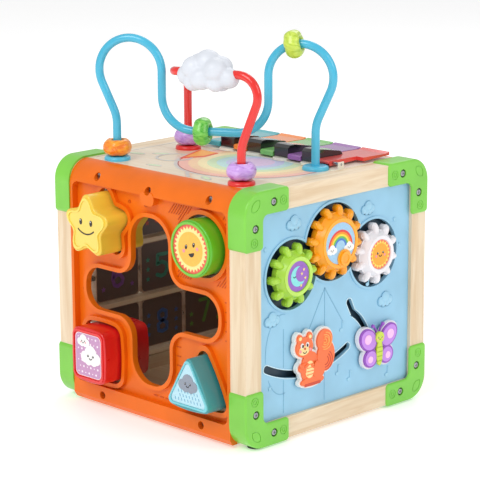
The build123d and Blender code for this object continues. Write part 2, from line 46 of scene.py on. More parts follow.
# Heights of the faces that carry prints and reliefs, in millimetres from the cube's middle.
BOARD_FACE = 139.0
BRACKET_FACE = 143.0
SLIDER_FACE = 141.2
NECK_START = 134.0
PANEL_FACE = -129.0


# ---- materials ------------------------------------------------------------------------

def new_material(name):
    mat = bpy.data.materials.new(name)
    mat.use_nodes = True
    tree = mat.node_tree
    return mat, tree, tree.nodes["Principled BSDF"]


def noise(tree, scale, detail=3.0, stretch=None):
    coords = tree.nodes.new("ShaderNodeTexCoord")
    node = tree.nodes.new("ShaderNodeTexNoise")
    node.inputs["Scale"].default_value = scale
    node.inputs["Detail"].default_value = detail
    if stretch:
        mapping = tree.nodes.new("ShaderNodeMapping")
        mapping.inputs["Scale"].default_value = stretch
        tree.links.new(coords.outputs["Object"], mapping.inputs["Vector"])
        tree.links.new(mapping.outputs["Vector"], node.inputs["Vector"])
    else:
        tree.links.new(coords.outputs["Object"], node.inputs["Vector"])
    return node


def ramp(tree, source, stops):
    node = tree.nodes.new("ShaderNodeValToRGB")
    elements = node.color_ramp.elements
    for i, (place, colour) in enumerate(stops):
        element = elements[i] if i < 2 else elements.new(place)
        element.position = place
        element.color = (*colour, 1.0)
    tree.links.new(source, node.inputs["Fac"])
    return node


def bump(tree, bsdf, source, strength, distance):
    node = tree.nodes.new("ShaderNodeBump")
    node.inputs["Strength"].default_value = strength
    node.inputs["Distance"].default_value = distance
    tree.links.new(source, node.inputs["Height"])
    tree.links.new(node.outputs["Normal"], bsdf.inputs["Normal"])


def shade(colour, k):
    return tuple(min(1.0, c * k) for c in colour)


def rough_range(tree, bsdf, source, low, high):
    node = tree.nodes.new("ShaderNodeMapRange")
    node.inputs["To Min"].default_value = low
    node.inputs["To Max"].default_value = high
    tree.links.new(source, node.inputs["Value"])
    tree.links.new(node.outputs["Result"], bsdf.inputs["Roughness"])


def plastic(name, colour, rough=0.3, coat=0.25, grain=0.12, shine=0.5):
    """Moulded plastic: a faint cloudiness, fine skin texture and uneven gloss."""
    mat, tree, bsdf = new_material(name)
    cloudy = noise(tree, 28.0, 2.0)
    tint = ramp(tree, cloudy.outputs["Fac"], ((0.3, shade(colour, 0.94)), (0.7, shade(colour, 1.05))))
    tree.links.new(tint.outputs["Color"], bsdf.inputs["Base Color"])
    skin = noise(tree, 900.0, 4.0)
    rough_range(tree, bsdf, noise(tree, 60.0).outputs["Fac"], rough * 0.85, rough * 1.2)
    bump(tree, bsdf, skin.outputs["Fac"], grain, 0.0002)
    bsdf.inputs["Coat Weight"].default_value = coat
    bsdf.inputs["Coat Roughness"].default_value = 0.12
    bsdf.inputs["Specular IOR Level"].default_value = shine
    return mat


def marbled(name, light, dark):
    """Bead plastic with swirled pigment."""
    mat, tree, bsdf = new_material(name)
    swirl = noise(tree, 55.0, 5.0, (1.0, 1.0, 2.4))
    swirl.inputs["Distortion"].default_value = 2.2
    tint = ramp(tree, swirl.outputs["Fac"], ((0.36, dark), (0.62, light)))
    tree.links.new(tint.outputs["Color"], bsdf.inputs["Base Color"])
    rough_range(tree, bsdf, swirl.outputs["Fac"], 0.22, 0.36)
    bump(tree, bsdf, swirl.outputs["Fac"], 0.15, 0.0006)
    bsdf.inputs["Coat Weight"].default_value = 0.3
    return mat


def wood(name, along, light, dark, coat=0.0):
    """Sanded pine: growth lines drawn out along one axis, broader tone changes, a fine bump and an optional
    clear coat.
    """
    mat, tree, bsdf = new_material(name)
    stretch = [1.0, 1.0, 1.0]
    stretch["xyz".index(along)] = 0.07
    lines = noise(tree, 150.0, 5.0, tuple(stretch))
    lines.inputs["Distortion"].default_value = 0.6
    broad = noise(tree, 34.0, 2.0, tuple(stretch))
    fine = ramp(tree, lines.outputs["Fac"], ((0.34, dark), (0.62, light)))
    wide = ramp(tree, broad.outputs["Fac"], ((0.3, shade(light, 0.86)), (0.65, light)))
    mix = tree.nodes.new("ShaderNodeMix")
    mix.data_type = "RGBA"
    mix.blend_type = "MULTIPLY"
    mix.inputs["Factor"].default_value = 0.55
    tree.links.new(fine.outputs["Color"], mix.inputs[6])
    tree.links.new(wide.outputs["Color"], mix.inputs[7])
    tree.links.new(mix.outputs[2], bsdf.inputs["Base Color"])
    rough_range(tree, bsdf, lines.outputs["Fac"], 0.42, 0.6)
    bump(tree, bsdf, lines.outputs["Fac"], 0.12, 0.0003)
    bsdf.inputs["Coat Weight"].default_value = coat
    bsdf.inputs["Coat Roughness"].default_value = 0.08
    return mat


def steel(name, k=1.0):
    mat, tree, bsdf = new_material(name)
    bsdf.inputs["Metallic"].default_value = 1.0
    brushed = noise(tree, 700.0, 3.0, (1.0, 1.0, 0.2))
    dull, bright = shade((0.55, 0.55, 0.57), k), shade((0.78, 0.78, 0.8), k)
    tint = ramp(tree, brushed.outputs["Fac"], ((0.3, dull), (0.7, bright)))
    tree.links.new(tint.outputs["Color"], bsdf.inputs["Base Color"])
    rough_range(tree, bsdf, brushed.outputs["Fac"], 0.2, 0.36)
    bump(tree, bsdf, brushed.outputs["Fac"], 0.1, 0.0001)
    return mat


def ink(name, colour):
    """Printed ink: flat colour with the faint mottling of a screen print."""
    mat, tree, bsdf = new_material(name)
    dots = noise(tree, 420.0, 2.0)
    tint = ramp(tree, dots.outputs["Fac"], ((0.35, shade(colour, 0.96)), (0.65, shade(colour, 1.04))))
    tree.links.new(tint.outputs["Color"], bsdf.inputs["Base Color"])
    rough_range(tree, bsdf, dots.outputs["Fac"], 0.35, 0.5)
    return mat


def pale_floor():
    mat, tree, bsdf = new_material("pale_floor")
    bsdf.inputs["Base Color"].default_value = (0.95, 0.95, 0.95, 1.0)
    bsdf.inputs["Emission Color"].default_value = (1.0, 1.0, 1.0, 1.0)
    bsdf.inputs["Emission Strength"].default_value = 0.3
    bsdf.inputs["Roughness"].default_value = 0.55
    return mat


PINE_LIGHT, PINE_DARK = (0.91, 0.8, 0.64), (0.78, 0.62, 0.43)
pine = {a: wood("pine_along_" + a, a, PINE_LIGHT, PINE_DARK) for a in "xyz"}
board_wood = wood("printed_board_wood", "x", (0.93, 0.84, 0.69), (0.85, 0.72, 0.54), 0.6)
# Pine tinted paler than the frame for the tile bars: painted light showing between the tile rows.
bar_wood_painted_light = wood("tile_bar_wood", "y", (0.97, 0.88, 0.72), (0.86, 0.72, 0.52))
tile_wood = wood("tile_wood", "y", (0.66, 0.52, 0.4), (0.5, 0.36, 0.25))
ORANGE = plastic("orange_shell", (0.82, 0.155, 0.002), 0.36, 0.05, shine=0.3)
GREEN = plastic("apple_green_corner", (0.2, 0.6, 0.055), 0.34, 0.15)
BLUE = plastic("sky_blue_board", (0.3, 0.57, 0.76), 0.4, 0.1)
# Darker blue for the pressed lines and the puffs' edges: painted shade.
BLUE_GROOVE_SHADE = ink("sky_blue_groove_painted_shade", (0.2, 0.44, 0.62))
BLUE_PUFF = plastic("sky_blue_puff", (0.33, 0.61, 0.79), 0.34, 0.2)
# Pale blue for the slot edges: painted highlight.
SLOT_EDGE_HIGHLIGHT = ink("slot_edge_painted_highlight", (0.62, 0.83, 0.92))
# Near black over the sunk screw holes: painted shade.
SCREW_HOLE_SHADE = ink("painted_screw_hole_shade", (0.02, 0.05, 0.015))
SLATE = plastic("slate_plate", (0.03, 0.07, 0.11), 0.4, 0.1)
STEEL = steel("screw_steel", 0.6)
# A darker copy of the screw steel for the sunk panel screws: painted shade of their recesses.
SHADED_SUNK_STEEL = steel("sunk_screw_steel_painted_shade", 0.4)
WHITE = ink("white_ink", (0.9, 0.9, 0.88))
BLACK = ink("black_ink", (0.02, 0.015, 0.015))
PINK = ink("pink_ink", (0.95, 0.3, 0.35))
RUBBER = plastic("foot_rubber", (0.04, 0.04, 0.04), 0.7, 0.0, 0.4)

NODE_LOOKS = {
    "corner_posts": pine["z"], "side_rails": pine["y"], "cross_rails": pine["x"], "tile_bars": bar_wood_painted_light,
    "top_board": board_wood, "bottom_board": board_wood, "corner_brackets": GREEN, "frame_screws": STEEL,
    "panel_screws": SHADED_SUNK_STEEL, "tile_rods": STEEL, "key_hinge_rod": STEEL, "front_panel": ORANGE,
    "back_panel": ORANGE, "battery_door": ORANGE, "side_panel": BLUE, "gear_backplate": SLATE,
    "battery_box": SLATE, "speaker": SLATE, "power_switch": SLATE, "rubber_feet": RUBBER,
    "star_block": plastic("star_yellow", (0.86, 0.58, 0.05), 0.3, 0.3),
    "round_block": plastic("leaf_green", (0.1, 0.46, 0.015), 0.3, 0.3),
    "square_block": plastic("poppy_red", (0.72, 0.012, 0.012), 0.28, 0.35),
    "triangle_block": plastic("lagoon_teal", (0.045, 0.3, 0.32), 0.3, 0.3),
    "gear_orange": plastic("gear_amber", (0.97, 0.37, 0.006), 0.3, 0.3),
    "gear_green": plastic("gear_lime", (0.4, 0.68, 0.05), 0.3, 0.3),
    "gear_white": plastic("gear_pearl", (0.85, 0.82, 0.85), 0.3, 0.3),
    "bead_wire_blue": plastic("wire_blue", (0.05, 0.45, 0.66), 0.22, 0.5, 0.03),
    "bead_wire_red": plastic("wire_red", (0.78, 0.015, 0.01), 0.22, 0.5, 0.03),
    "wire_cups_blue": plastic("cup_blue", (0.08, 0.5, 0.72), 0.3, 0.3),
    "wire_cups_red": plastic("cup_red", (0.75, 0.02, 0.015), 0.3, 0.3),
    "keyboard_bed": plastic("bed_cream", (0.85, 0.8, 0.68), 0.35, 0.2),
    "circuit_board": plastic("board_green", (0.02, 0.2, 0.08), 0.5, 0.0),
    "batteries": plastic("cell_wrap", (0.1, 0.1, 0.12), 0.3, 0.2),
}
KEY_COLOURS = {"teal": (0.06, 0.45, 0.5), "orange": (1.0, 0.27, 0.03), "green": (0.2, 0.55, 0.14),
               "purple": (0.33, 0.12, 0.42), "red": (0.8, 0.06, 0.05)}


def dress(node, mat):
    mesh_object = nodes[node]
    if not mesh_object.material_slots:
        mesh_object.data.materials.append(mat)
    for material_slot in mesh_object.material_slots:
        material_slot.material = mat


for node_name, look in NODE_LOOKS.items():
    dress(node_name, look)
for number in range(1, 10):
    dress("number_tile_%d" % number, tile_wood)


# ---- making pieces ----------------------------------------------------------------------

def finish_piece(name, bm, mats, body, replaces=(), smooth=True, sub=0, bevel=0.0):
    mesh = bpy.data.meshes.new(name)
    bm.to_mesh(mesh)
    bm.free()
    piece = bpy.data.objects.new(name, mesh)
    bpy.context.scene.collection.objects.link(piece)
    for mat in mats:
        mesh.materials.append(mat)
    if smooth:
        for polygon in mesh.polygons:
            polygon.use_smooth = True
    if bevel:
        mod = piece.modifiers.new("rounded", "BEVEL")
        mod.width = bevel
        mod.segments = 3
        mod.limit_method = "ANGLE"
        mod.angle_limit = math.radians(35)
        mod.use_clamp_overlap = True
    if sub:
        mod = piece.modifiers.new("smooth", "SUBSURF")
        mod.levels = sub
        mod.render_levels = sub
    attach(piece, body)
    if replaces:
        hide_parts(*replaces)
    return piece


def face_frame(side, at):
    """Millimetres on a face (u across, v up, h outward) to metres in the cube's frame."""
    ways = {"front": ((1, 0, 0), (0, 0, 1), (0, -1, 0)), "gear": ((0, 1, 0), (0, 0, 1), (1, 0, 0)),
            "top": ((1, 0, 0), (0, 1, 0), (0, 0, 1)), "tile": ((0, -1, 0), (0, 0, 1), (-1, 0, 0))}[side]
    cols = Matrix((ways[0], ways[1], ways[2])).transposed() * MM
    out = cols.to_4x4()
    out.translation = Vector(at) * MM
    return out


class Picture:
    """A print or relief built from thin closed shapes on one face."""

    def __init__(self, side, at):
        self.bm = bmesh.new()
        self.mats = []
        self.place = face_frame(side, at)

    def _raise(self, faces, base, thick, mat):
        if mat not in self.mats:
            self.mats.append(mat)
        index = self.mats.index(mat)
        for face in faces:
            face.material_index = index
        out = bmesh.ops.extrude_face_region(self.bm, geom=faces, use_keep_orig=True)
        verts = [g for g in out["geom"] if isinstance(g, bmesh.types.BMVert)]
        new_faces = {f for v in verts for f in v.link_faces}
        for face in new_faces:
            face.material_index = index
        bmesh.ops.translate(self.bm, vec=(0, 0, thick), verts=verts)
        first = {v for f in faces for v in f.verts}
        bmesh.ops.translate(self.bm, vec=(0, 0, base), verts=list(first | set(verts)))
        bmesh.ops.reverse_faces(self.bm, faces=faces)

    def disc(self, u, v, r, base, thick, mat, squash=1.0, turn=0.0, seg=32):
        made = bmesh.ops.create_circle(self.bm, cap_ends=True, segments=seg, radius=1.0)["verts"]
        spin = Matrix.Rotation(math.radians(turn), 4, "Z")
        size = Matrix.Diagonal((r, r * squash, 1, 1))
        bmesh.ops.transform(self.bm, matrix=Matrix.Translation((u, v, 0)) @ spin @ size, verts=made)
        self._raise(list({f for w in made for f in w.link_faces}), base, thick, mat)

    def poly(self, points, base, thick, mat):
        verts = [self.bm.verts.new((p[0], p[1], 0)) for p in points]
        face = self.bm.faces.new(verts)
        face.normal_update()
        if face.normal.z < 0:
            face.normal_flip()
        self._raise([face], base, thick, mat)

    def ring(self, outer, inner, base, thick, mat):
        for i in range(len(outer)):
            j = (i + 1) % len(outer)
            self.poly([outer[i], outer[j], inner[j], inner[i]], base, thick, mat)

    def dome(self, u, v, long, wide, high, turn, mat, base=0.0):
        """A half-sunk egg shape lying on the face."""
        if mat not in self.mats:
            self.mats.append(mat)
        place = Matrix.Translation((u, v, base)) @ Matrix.Rotation(math.radians(turn), 4, "Z")
        made = bmesh.ops.create_uvsphere(self.bm, u_segments=24, v_segments=14, radius=1.0,
                                         matrix=place @ Matrix.Diagonal((long, wide, high, 1)))["verts"]
        for face in {f for w in made for f in w.link_faces}:
            face.material_index = self.mats.index(mat)
            face.smooth = True

    def stroke(self, points, width, base, thick, mat):
        for a, b in zip(points, points[1:]):
            way = Vector((b[0] - a[0], b[1] - a[1]))
            if way.length < 1e-6:
                continue
            off = Vector((-way.y, way.x)).normalized() * width / 2
            self.poly([(a[0] + off.x, a[1] + off.y), (a[0] - off.x, a[1] - off.y),
                       (b[0] - off.x, b[1] - off.y), (b[0] + off.x, b[1] + off.y)], base, thick, mat)
        for p in points:
            self.disc(p[0], p[1], width / 2, base, thick * 0.98, mat, seg=10)

    def arc(self, u, v, r, start, stop, width, base, thick, mat, steps=18):
        angles = [math.radians(start + (stop - start) * i / steps) for i in range(steps + 1)]
        inner = [(u + (r - width / 2) * math.cos(a), v + (r - width / 2) * math.sin(a)) for a in angles]
        outer = [(u + (r + width / 2) * math.cos(a), v + (r + width / 2) * math.sin(a)) for a in angles]
        for i in range(steps):
            self.poly([inner[i], outer[i], outer[i + 1], inner[i + 1]], base, thick, mat)

    def star(self, u, v, outer, inner, count, base, thick, mat, turn=90.0):
        points = []
        for i in range(2 * count):
            r = outer if i % 2 == 0 else inner
            a = math.radians(turn + 180.0 * i / count)
            points.append((u + r * math.cos(a), v + r * math.sin(a)))
        self.poly(points, base, thick, mat)

    def cloud(self, u, v, k, base, thick, mat):
        for du, dv, r in ((-6, -0.5, 4.2), (0, 2.4, 6.0), (6, -0.5, 4.2), (-2.5, -2, 4.0), (3, -2, 4.0)):
            self.disc(u + du * k, v + dv * k, r * k, base, thick + 0.01 * du, mat, seg=24)

    def face(self, u, v, k, base, eye=BLACK, cheek=PINK):
        for side in (-1, 1):
            self.disc(u + side * 4.2 * k, v + 1.2 * k, 1.3 * k, base, 0.25, eye, seg=16)
            self.disc(u + side * 3.8 * k, v + 1.7 * k, 0.45 * k, base + 0.2, 0.2, WHITE, seg=10)
            if cheek:
                self.disc(u + side * 6.6 * k, v - 1.6 * k, 1.4 * k, base, 0.2, cheek, seg=16)
        self.arc(u, v - 0.2 * k, 2.4 * k, 200, 340, 0.8 * k, base, 0.25, eye, steps=10)

    def done(self, name, body, slot, replaces=(), smooth=False, bevel=0.0):
        bmesh.ops.transform(self.bm, matrix=self.place, verts=self.bm.verts[:])
        return finish_piece(name, self.bm, self.mats, body, replaces, smooth=smooth, bevel=bevel)


# ---- sorting blocks' faces -------------------------------------------------------------------

STAR_AT, ROUND_AT, SQUARE_AT, TRIANGLE_AT = (-68, 205), (80, 204), (-76, 62), (80, 60)
STAR_FRONT, ROUND_FRONT, SQUARE_FRONT, TRIANGLE_FRONT = -160.0, -150.0, -154.0, -155.5


def star_points(k):
    points = []
    for i in range(60):
        a = math.radians(90 + 6.0 * i)
        wave = 0.5 + 0.5 * math.cos(math.radians(30.0 * i))
        r = (21.2 + 11.0 * wave ** 1.15) * k
        points.append((r * math.cos(a), r * math.sin(a)))
    return points


def star_face():
    pic = Picture("front", (STAR_AT[0], STAR_FRONT, STAR_AT[1]))
    rim = plastic("star_rim", (0.93, 0.73, 0.12), 0.28, 0.3)
    sunk = plastic("star_sunk_face", (0.92, 0.69, 0.12), 0.3, 0.3)
    pic.ring(star_points(0.95), star_points(0.87), -0.2, 1.6, rim)
    pic.poly(star_points(0.865), -0.2, 0.5, sunk)
    for side in (-1, 1):
        pic.disc(side * 8.0, 4.5, 2.1, 0.3, 0.3, BLACK, squash=1.55, seg=24)
        pic.disc(side * 8.0 - 0.5, 6.2, 0.7, 0.55, 0.2, WHITE, seg=12)
    pic.arc(0, 11.5, 19.5, 230, 310, 1.4, 0.3, 0.3, BLACK, steps=24)
    pic.done("star_block_face", "star_block", "star_yellow")


def round_face():
    pic = Picture("front", (ROUND_AT[0], ROUND_FRONT, ROUND_AT[1]))
    coral, pale = ink("coral_ring", (0.85, 0.13, 0.08)), ink("pale_ray", (0.98, 0.78, 0.3))
    gold, rim = ink("golden_disc", (0.95, 0.5, 0.07)), plastic("leaf_rim", (0.17, 0.55, 0.03), 0.28, 0.35)
    pic.arc(0, 0, 26.5, 0, 360, 2.4, -0.2, 1.6, rim, steps=48)
    pic.disc(0, 0, 25.2, -0.2, 0.35, coral, seg=48)
    pic.star(0, 0, 23.6, 20.2, 30, 0.1, 0.3, pale)
    pic.disc(0, 0, 17.6, 0.35, 0.25, gold, seg=48)
    for u, v in ((-6.0, 1.5), (5.0, 5.0)):
        pic.disc(u, v, 1.7, 0.58, 0.25, BLACK, squash=1.5, turn=-15, seg=20)
        pic.disc(u + 0.3, v + 1.2, 0.55, 0.8, 0.15, WHITE, seg=10)
    mouth = [(4.0 * math.cos(a) + 1.5, 4.0 * math.sin(a) - 4.0)
             for a in (math.radians(195 + 15 * i) for i in range(13))]
    pic.poly(mouth, 0.58, 0.25, BLACK)
    for u, v in ((-9.5, -3.0), (10.0, 1.5)):
        pic.disc(u, v, 1.9, 0.58, 0.2, PINK, seg=16)
    pic.done("round_block_face", "round_block", "leaf_green")


def rounded_box(cx, cy, w, h, r, steps=6):
    points = []
    for sx, sy, start in ((1, 1, 0), (-1, 1, 90), (-1, -1, 180), (1, -1, 270)):
        for i in range(steps + 1):
            a = math.radians(start + 90.0 * i / steps)
            points.append((cx + sx * (w - r) + r * math.cos(a), cy + sy * (h - r) + r * math.sin(a)))
    return points


def square_face():
    pic = Picture("front", (SQUARE_AT[0], SQUARE_FRONT, SQUARE_AT[1]))
    lilac, dot = ink("lilac_pink", (0.56, 0.3, 0.52)), ink("white_dot", (0.9, 0.8, 0.88))
    rim, edge = plastic("poppy_rim", (0.78, 0.02, 0.02), 0.28, 0.35), ink("sticker_edge", (0.9, 0.84, 0.88))
    pic.ring(rounded_box(0, 0, 23.9, 26.9, 7), rounded_box(0, 0, 21.9, 24.9, 6), -0.2, 1.4, rim)
    pic.poly(rounded_box(0, 0, 20.4, 23.6, 6), -0.2, 0.5, edge)
    pic.poly(rounded_box(0, 0, 19.7, 22.9, 5.5), 0.25, 0.2, lilac)
    for row in range(-3, 4):
        for col in range(-3, 4):
            u, v = col * 5.6 + (2.8 if row % 2 else 0) - 1.4, row * 6.4
            if abs(u) < 18 and abs(v) < 21:
                pic.disc(u, v, 0.8 + 0.5 * ((row + col) % 2), 0.4, 0.15, dot, seg=10)
    pic.cloud(-7, 14.5, 0.95, 0.55, 0.3, WHITE)
    pic.face(-7, 14.5, 0.55, 0.92)
    pic.cloud(4.5, -1.0, 1.55, 0.5, 0.35, WHITE)
    pic.face(4.5, -1.0, 0.95, 1.0, cheek=None)
    pic.done("square_block_face", "square_block", "block_red")


def triangle_face():
    pic = Picture("front", (TRIANGLE_AT[0], TRIANGLE_FRONT, TRIANGLE_AT[1]))
    aqua, ice = plastic("aqua_rim", (0.17, 0.6, 0.68), 0.28, 0.35), ink("ice_blue", (0.48, 0.75, 0.85))
    grey, rain = ink("grey_cloud", (0.27, 0.31, 0.38)), ink("rain_blue", (0.16, 0.42, 0.62))

    def outline(k):
        points = []
        for cx, cy, start in ((23.5, -15.5, -90), (0, 24.5, 30), (-23.5, -15.5, 150)):
            for i in range(9):
                a = math.radians(start + 120.0 * i / 8)
                points.append(((cx + 5.0 * math.cos(a)) * k, (cy + 5.0 * math.sin(a)) * k))
        return points

    pic.ring(outline(0.98), outline(0.88), -0.2, 1.5, aqua)
    pic.poly(outline(0.87), -0.2, 0.5, ice)
    for row in range(3):
        for col in range(-3 - (row == 0), 4 + (row == 0)):
            x = col * 4.6 + (2.3 if row % 2 else 0)
            pic.stroke([(x, -14.5 + row * 4.4), (x - 0.6, -12.3 + row * 4.4)], 0.9, 0.3, 0.2, rain)
    pic.cloud(0, 3.5, 1.35, 0.35, 0.4, grey)
    pic.face(0, 3.5, 0.85, 0.95, cheek=None)
    pic.done("triangle_block_face", "triangle_block", "block_teal")


# ---- gears ------------------------------------------------------------------------------------------

GEARS = {"orange": (-5.5, 197.0, 12, 20.9), "green": (-67.5, 173.3, 10, 38.9),
         "white": (56.5, 174.5, 10, 165.1)}


def gear_parts(name, mat, rim_mat):
    """A rounded petal on every tooth and a raised rim round the label."""
    y, z, teeth, first = GEARS[name]
    pic = Picture("gear", (BRACKET_FACE, y, z))
    pitch = 3.0 * teeth
    for i in range(teeth):
        turn = first + 360.0 * i / teeth
        a, out = math.radians(turn), pitch - 4.4
        pic.dome(out * math.cos(a), out * math.sin(a), 7.3, 3.95, 4.8, turn, mat)
    pic.arc(0, 0, pitch - 11.8, 0, 360, 3.8, 6.6, 1.2, rim_mat, steps=48)
    return pic, pitch - 14.0


def gear_pictures():
    """Rainbow, moon and sun labels on the three gears."""
    slots = {"orange": "gear_orange", "green": "gear_lime", "white": "gear_white"}
    rims = {"orange": plastic("amber_rim", (0.98, 0.4, 0.01), 0.26, 0.4),
            "green": plastic("lime_rim", (0.5, 0.78, 0.1), 0.26, 0.4),
            "white": plastic("pearl_rim", (0.86, 0.84, 0.87), 0.26, 0.4)}
    for name, slot in slots.items():
        pic, label = gear_parts(name, NODE_LOOKS["gear_" + name], rims[name])
        if name == "orange":
            pic.disc(0, 0, label - 0.3, 6.9, 0.3, ink("day_sky", (0.36, 0.6, 0.8)), seg=48)
            bands = ((0.8, 0.05, 0.04), (0.98, 0.3, 0.02), (0.95, 0.7, 0.05), (0.13, 0.5, 0.1),
                     (0.07, 0.2, 0.62))
            for i, colour in enumerate(bands):
                pic.arc(0, -4, 17.0 - i * 2.2, 0, 180, 2.25, 7.15, 0.2, ink("bow_%d" % i, colour))
            for side in (-1, 1):
                pic.cloud(side * 12.8, -6.0, 0.72, 7.25, 0.3, WHITE)
                pic.face(side * 12.8, -6.0, 0.42, 7.6, cheek=None)
            pic.disc(5, -16.5, 9.6, 6.9, 1.7, rims["orange"], seg=40)
            pic.arc(5, -16.5, 6.1, 0, 360, 2.4, 9.6, 1.0, rims["orange"], steps=32)
        if name == "green":
            pic.disc(0, 0, label - 0.3, 6.2, 0.3, ink("night_purple", (0.33, 0.13, 0.55)), seg=48)
            moon = ink("moon_teal", (0.25, 0.75, 0.75))
            pic.disc(0, 0, 10.5, 6.45, 0.3, moon, seg=32)
            pic.disc(4.6, 2.0, 8.2, 6.65, 0.25, ink("night_purple_2", (0.33, 0.13, 0.55)), seg=32)
            pic.arc(-5.4, 1.0, 1.6, 190, 350, 0.7, 6.75, 0.25, BLACK, steps=8)
            for u, v in ((8, 6), (10, -3), (4, -10), (5, 2)):
                pic.star(u, v, 1.9, 0.8, 5, 6.85, 0.2, ink("star_spot", (1.0, 0.8, 0.2)))
        if name == "white":
            pic.disc(0, 0, label - 0.3, 6.2, 0.3, ink("coral_round", (0.92, 0.22, 0.12)), seg=48)
            pic.star(0, 0, 15.2, 12.0, 20, 6.45, 0.25, ink("sun_ray", (1.0, 0.75, 0.12)))
            pic.disc(0, 0, 11.8, 6.6, 0.3, ink("sun_orange", (1.0, 0.4, 0.03)), seg=40)
            pic.face(0, 0.5, 1.0, 6.88)
        pic.done("gear_%s_picture" % name, "gear_" + name, slot)


# ---- sliders ------------------------------------------------------------------------------------------

def slider_neck(neck, name, mat):
    """The pin through the slot and its retainer disc behind the board."""
    neck.disc(0, 0, 3.3, -0.5, 8.0, mat)
    neck.disc(0, 0, 6.4, -0.55, 1.25, mat)
    neck.done(name + "_neck", name, name)


def squirrel():
    """Squirrel on a milky backing, facing left with its tail curled to the right."""
    pic = Picture("gear", (SLIDER_FACE, -42.5, 80.0))
    back = plastic("milky_back", (0.86, 0.86, 0.83), 0.25, 0.4)
    fur, deep = plastic("fox_orange", (0.92, 0.16, 0.03), 0.34, 0.2), ink("fox_deep", (0.62, 0.06, 0.02))
    cream = ink("belly_cream", (1.0, 0.72, 0.32))
    neck = Picture("gear", (NECK_START, -44.5, 66.0))
    curl = ink("tail_curl", (0.98, 0.4, 0.1))
    # belly, head, two ears, ground, lower and upper tail, arm, thigh
    shapes = ((-4, -7, 13.5, 1.25), (-12.5, 16, 12.5, 0.86), (-5, 26, 4.0, 1.2), (-19.5, 25.5, 4.0, 1.2),
              (-1, -22, 17, 0.3), (19, 1, 13.0, 1.25), (17, 18, 11.5, 1.0), (-13, -6, 8, 0.7),
              (8, -12, 9, 1.0))
    for i, (u, v, r, squash) in enumerate(shapes):
        pic.disc(u, v, r + 2.2, -0.1, 4.2 + 0.05 * i, back, squash=(r * squash + 2.2) / (r + 2.2), seg=40)
        pic.disc(u, v, r, 3.6, 2.2 + 0.12 * i, fur, squash=squash, seg=40)
    for i in range(4):
        pic.arc(17 + 0.8 * (i % 2), 17, 2.0 + i * 2.3, -160 + i * 15, 130 - i * 12, 1.1, 6.3, 0.8, curl)
    for i in range(3):
        pic.arc(18, -4, 4.5 + i * 2.9, -100, 55, 1.0, 5.9, 0.8, deep)
    pic.dome(-5.0, -9, 6.8, 9.4, 1.3, 0, cream, base=6.0)
    for i in range(4):
        pic.stroke([(-9.5, -14 + i * 3.6), (-0.5, -14 + i * 3.6)], 0.8, 6.9, 0.5, fur)
    pic.dome(-13.5, 12.6, 8.0, 5.0, 1.2, 0, cream, base=5.9)
    for side in (0, 1):
        pic.disc(-9.3 - 7.6 * side, 18.4, 2.0, 6.2, 1.0, WHITE, squash=1.3, seg=20)
        pic.disc(-9.7 - 6.8 * side, 18.0, 1.3, 7.1, 0.3, BLACK, squash=1.4, seg=20)
        pic.disc(-5.2 - 14.5 * side, 12.8, 1.6, 6.7, 0.5, PINK, seg=16)
        pic.disc(-5 - 14.5 * side, 26.2, 2.0, 5.9, 0.8, cream, seg=16)
    pic.stroke([(-20, -2), (-14, -6), (-9, -3)], 3.0, 6.6, 1.0, fur)
    pic.stroke([(4, -3), (0, -7), (-3, -5)], 3.0, 6.6, 1.0, fur)
    pic.disc(-13.3, 14.8, 1.2, 7.0, 0.5, deep, seg=14)
    pic.arc(-13.3, 12.6, 2.6, 200, 340, 0.7, 7.0, 0.3, BLACK, steps=8)
    pic.poly(rounded_box(-1, -25, 12, 1.6, 1.2), 5.9, 0.6, deep)
    slider_neck(neck, "squirrel", back)
    pic.done("squirrel_picture", "squirrel", "squirrel", ("squirrel_slider",), bevel=0.0005)


def butterfly():
    """Two pairs of wings round a lime body, on a milky backing."""
    pic = Picture("gear", (SLIDER_FACE, 59.0, 72.0))
    back = plastic("milky_wing_back", (0.84, 0.82, 0.86), 0.25, 0.4)
    wing, deep = plastic("wing_purple", (0.55, 0.24, 0.78), 0.32, 0.25), ink("wing_deep", (0.3, 0.08, 0.5))
    spot, lime = ink("wing_spot", (0.93, 0.55, 0.85)), plastic("body_lime", (0.6, 0.74, 0.05), 0.32, 0.25)
    for side in (-1, 1):
        for k, (u, v, r, squash, turn) in enumerate(((16, 11, 14.5, 0.78, 38), (12.5, -9.5, 10.5, 0.95, 0))):
            pic.disc(side * u, v, r + 2.0, -0.1, 4.0 + 0.1 * k, back, squash, side * turn, seg=40)
            pic.disc(side * u, v, r, 3.5, 2.2 + 0.2 * k, deep, squash, side * turn, seg=40)
            pic.disc(side * u, v, r - 2.0, 5.2, 1.0 + 0.2 * k, wing, squash, side * turn, seg=40)
            pic.disc(side * u * 1.1, v * 1.1, r * 0.36, 6.2, 0.6, spot, 1.0, 0, seg=24)
        pic.stroke([(side * 1.5, 15), (side * 4, 21), (side * 7.5, 24.5)], 1.3, 3.0, 2.0, deep)
        pic.disc(side * 7.8, 24.6, 1.9, 3.0, 2.2, deep, seg=16)
    pic.disc(0, -5, 4.6, 5.0, 2.4, lime, squash=3.1, seg=32)
    for i in range(4):
        band = ink("band_%d" % i, (0.35, 0.5, 0.03))
        pic.stroke([(-3.6, -14 + i * 5), (3.6, -14 + i * 5)], 1.1, 7.2, 0.4, band)
    pic.disc(0, 11.5, 6.2, 5.0, 2.7, lime, seg=32)
    pic.face(0, 11, 0.62, 7.55)
    neck = Picture("gear", (NECK_START, 51.9, 71.5))
    slider_neck(neck, "butterfly", back)
    pic.done("butterfly_picture", "butterfly", "butterfly", ("butterfly_slider",), bevel=0.0005)


